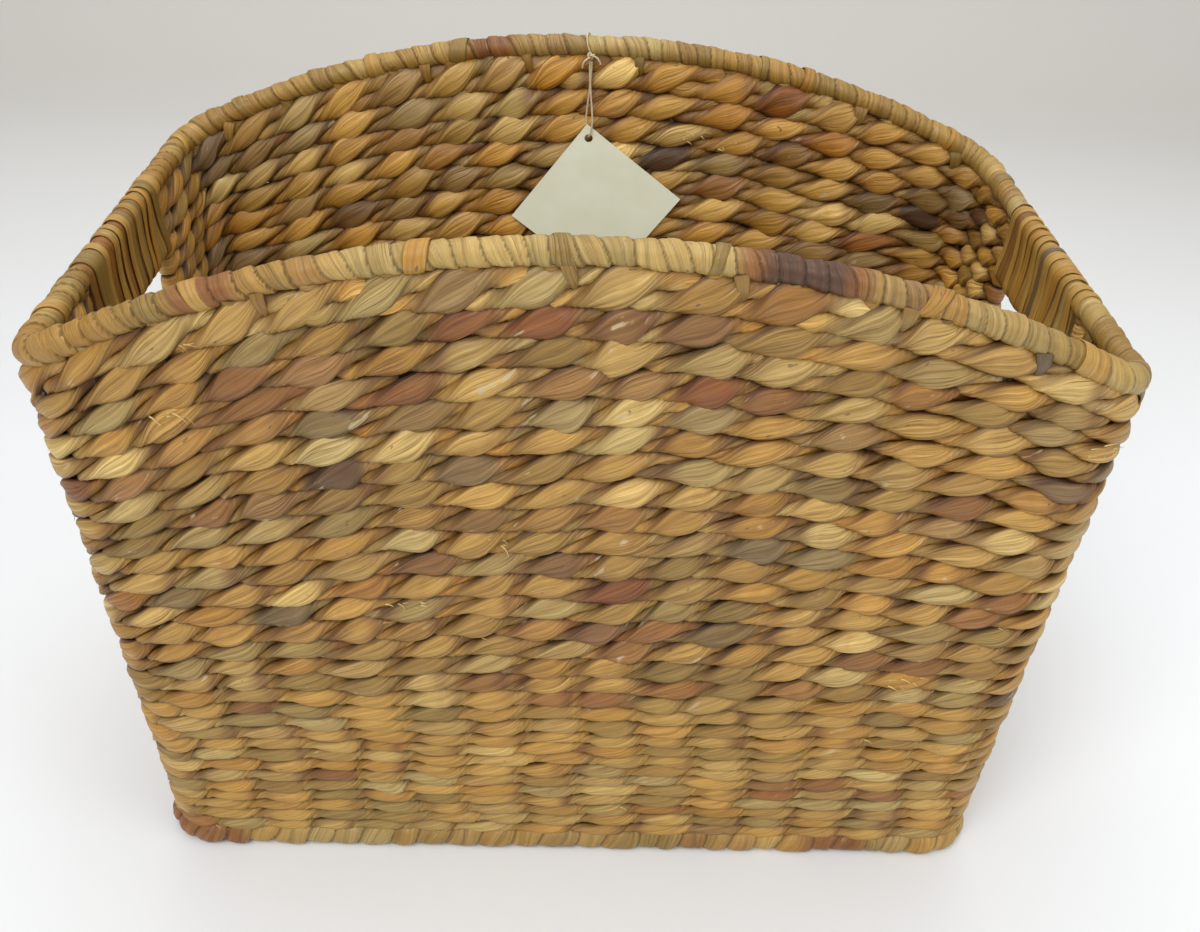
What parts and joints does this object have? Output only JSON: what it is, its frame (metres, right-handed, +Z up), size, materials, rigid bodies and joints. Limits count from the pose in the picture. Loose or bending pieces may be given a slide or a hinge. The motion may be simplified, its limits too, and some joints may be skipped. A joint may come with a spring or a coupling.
{
  "type": "magazine basket",
  "caption": "Rectangular woven-leaf magazine basket on a wire frame, with an arched wrapped rim, hand-holes in its ends and a blank hang tag.",
  "frame": {"origin": "on the floor, under the middle of the basket", "axes": "+Z up, +X to the basket's right along its long side, +Y to its back, where the tag hangs"},
  "size_m": [0.441, 0.2587, 0.3506],
  "materials": {
    "leaf_course": "satin dried leaf, twined",
    "leaf_wrap": "satin dried leaf, wound",
    "wire": "satin",
    "twine": "matte twine",
    "card": "matte card"
  },
  "bodies": {
    "basket": {"course_01": "leaf_course", "course_02": "leaf_course", "course_03": "leaf_course", "course_04": "leaf_course", "course_05": "leaf_course", "course_06": "leaf_course", "course_07": "leaf_course", "course_08": "leaf_course", "course_09": "leaf_course", "course_10": "leaf_course", "course_11": "leaf_course", "course_12": "leaf_course", "course_13": "leaf_course", "course_14": "leaf_course", "course_15": "leaf_course", "course_16": "leaf_course", "course_17": "leaf_course", "course_18": "leaf_course", "course_19": "leaf_course", "course_20": "leaf_course", "course_21": "leaf_course", "course_22": "leaf_course", "course_23": "leaf_course", "course_24": "leaf_course", "course_25_back": "leaf_course", "course_25_front": "leaf_course", "course_26_back": "leaf_course", "course_26_front": "leaf_course", "course_27_back": "leaf_course", "course_27_front": "leaf_course", "course_28_back": "leaf_course", "course_28_front": "leaf_course", "course_29_back": "leaf_course", "course_29_front": "leaf_course", "course_30_back": "leaf_course", "course_30_front": "leaf_course", "base_weave": "leaf_course", "rim_wrap_back": "leaf_wrap", "rim_wrap_front": "leaf_wrap", "base_wrap": "leaf_wrap", "handle_wrap_right": "leaf_wrap", "handle_wrap_left": "leaf_wrap", "rim_wire": "wire", "stake_cage": "wire", "corner_post_right_back": "wire", "corner_post_right_front": "wire", "corner_post_left_back": "wire", "corner_post_left_front": "wire", "handle_post_right_back": "wire", "handle_post_right_front": "wire", "handle_post_left_back": "wire", "handle_post_left_front": "wire", "grip_bar_right": "wire", "grip_bar_left": "wire"},
    "hang_tag": {"rim_loop": "twine", "string_knot": "twine", "tag_string": "twine", "tag_card": "card"}
  },
  "joints": [
    {"name": "tag_swing", "type": "hinge", "parent": "basket", "child": "hang_tag", "pos_m": [0, 0.12332, 0.344], "axis": [-1, 0, 0], "range_deg": [0, 90]}
  ]
}
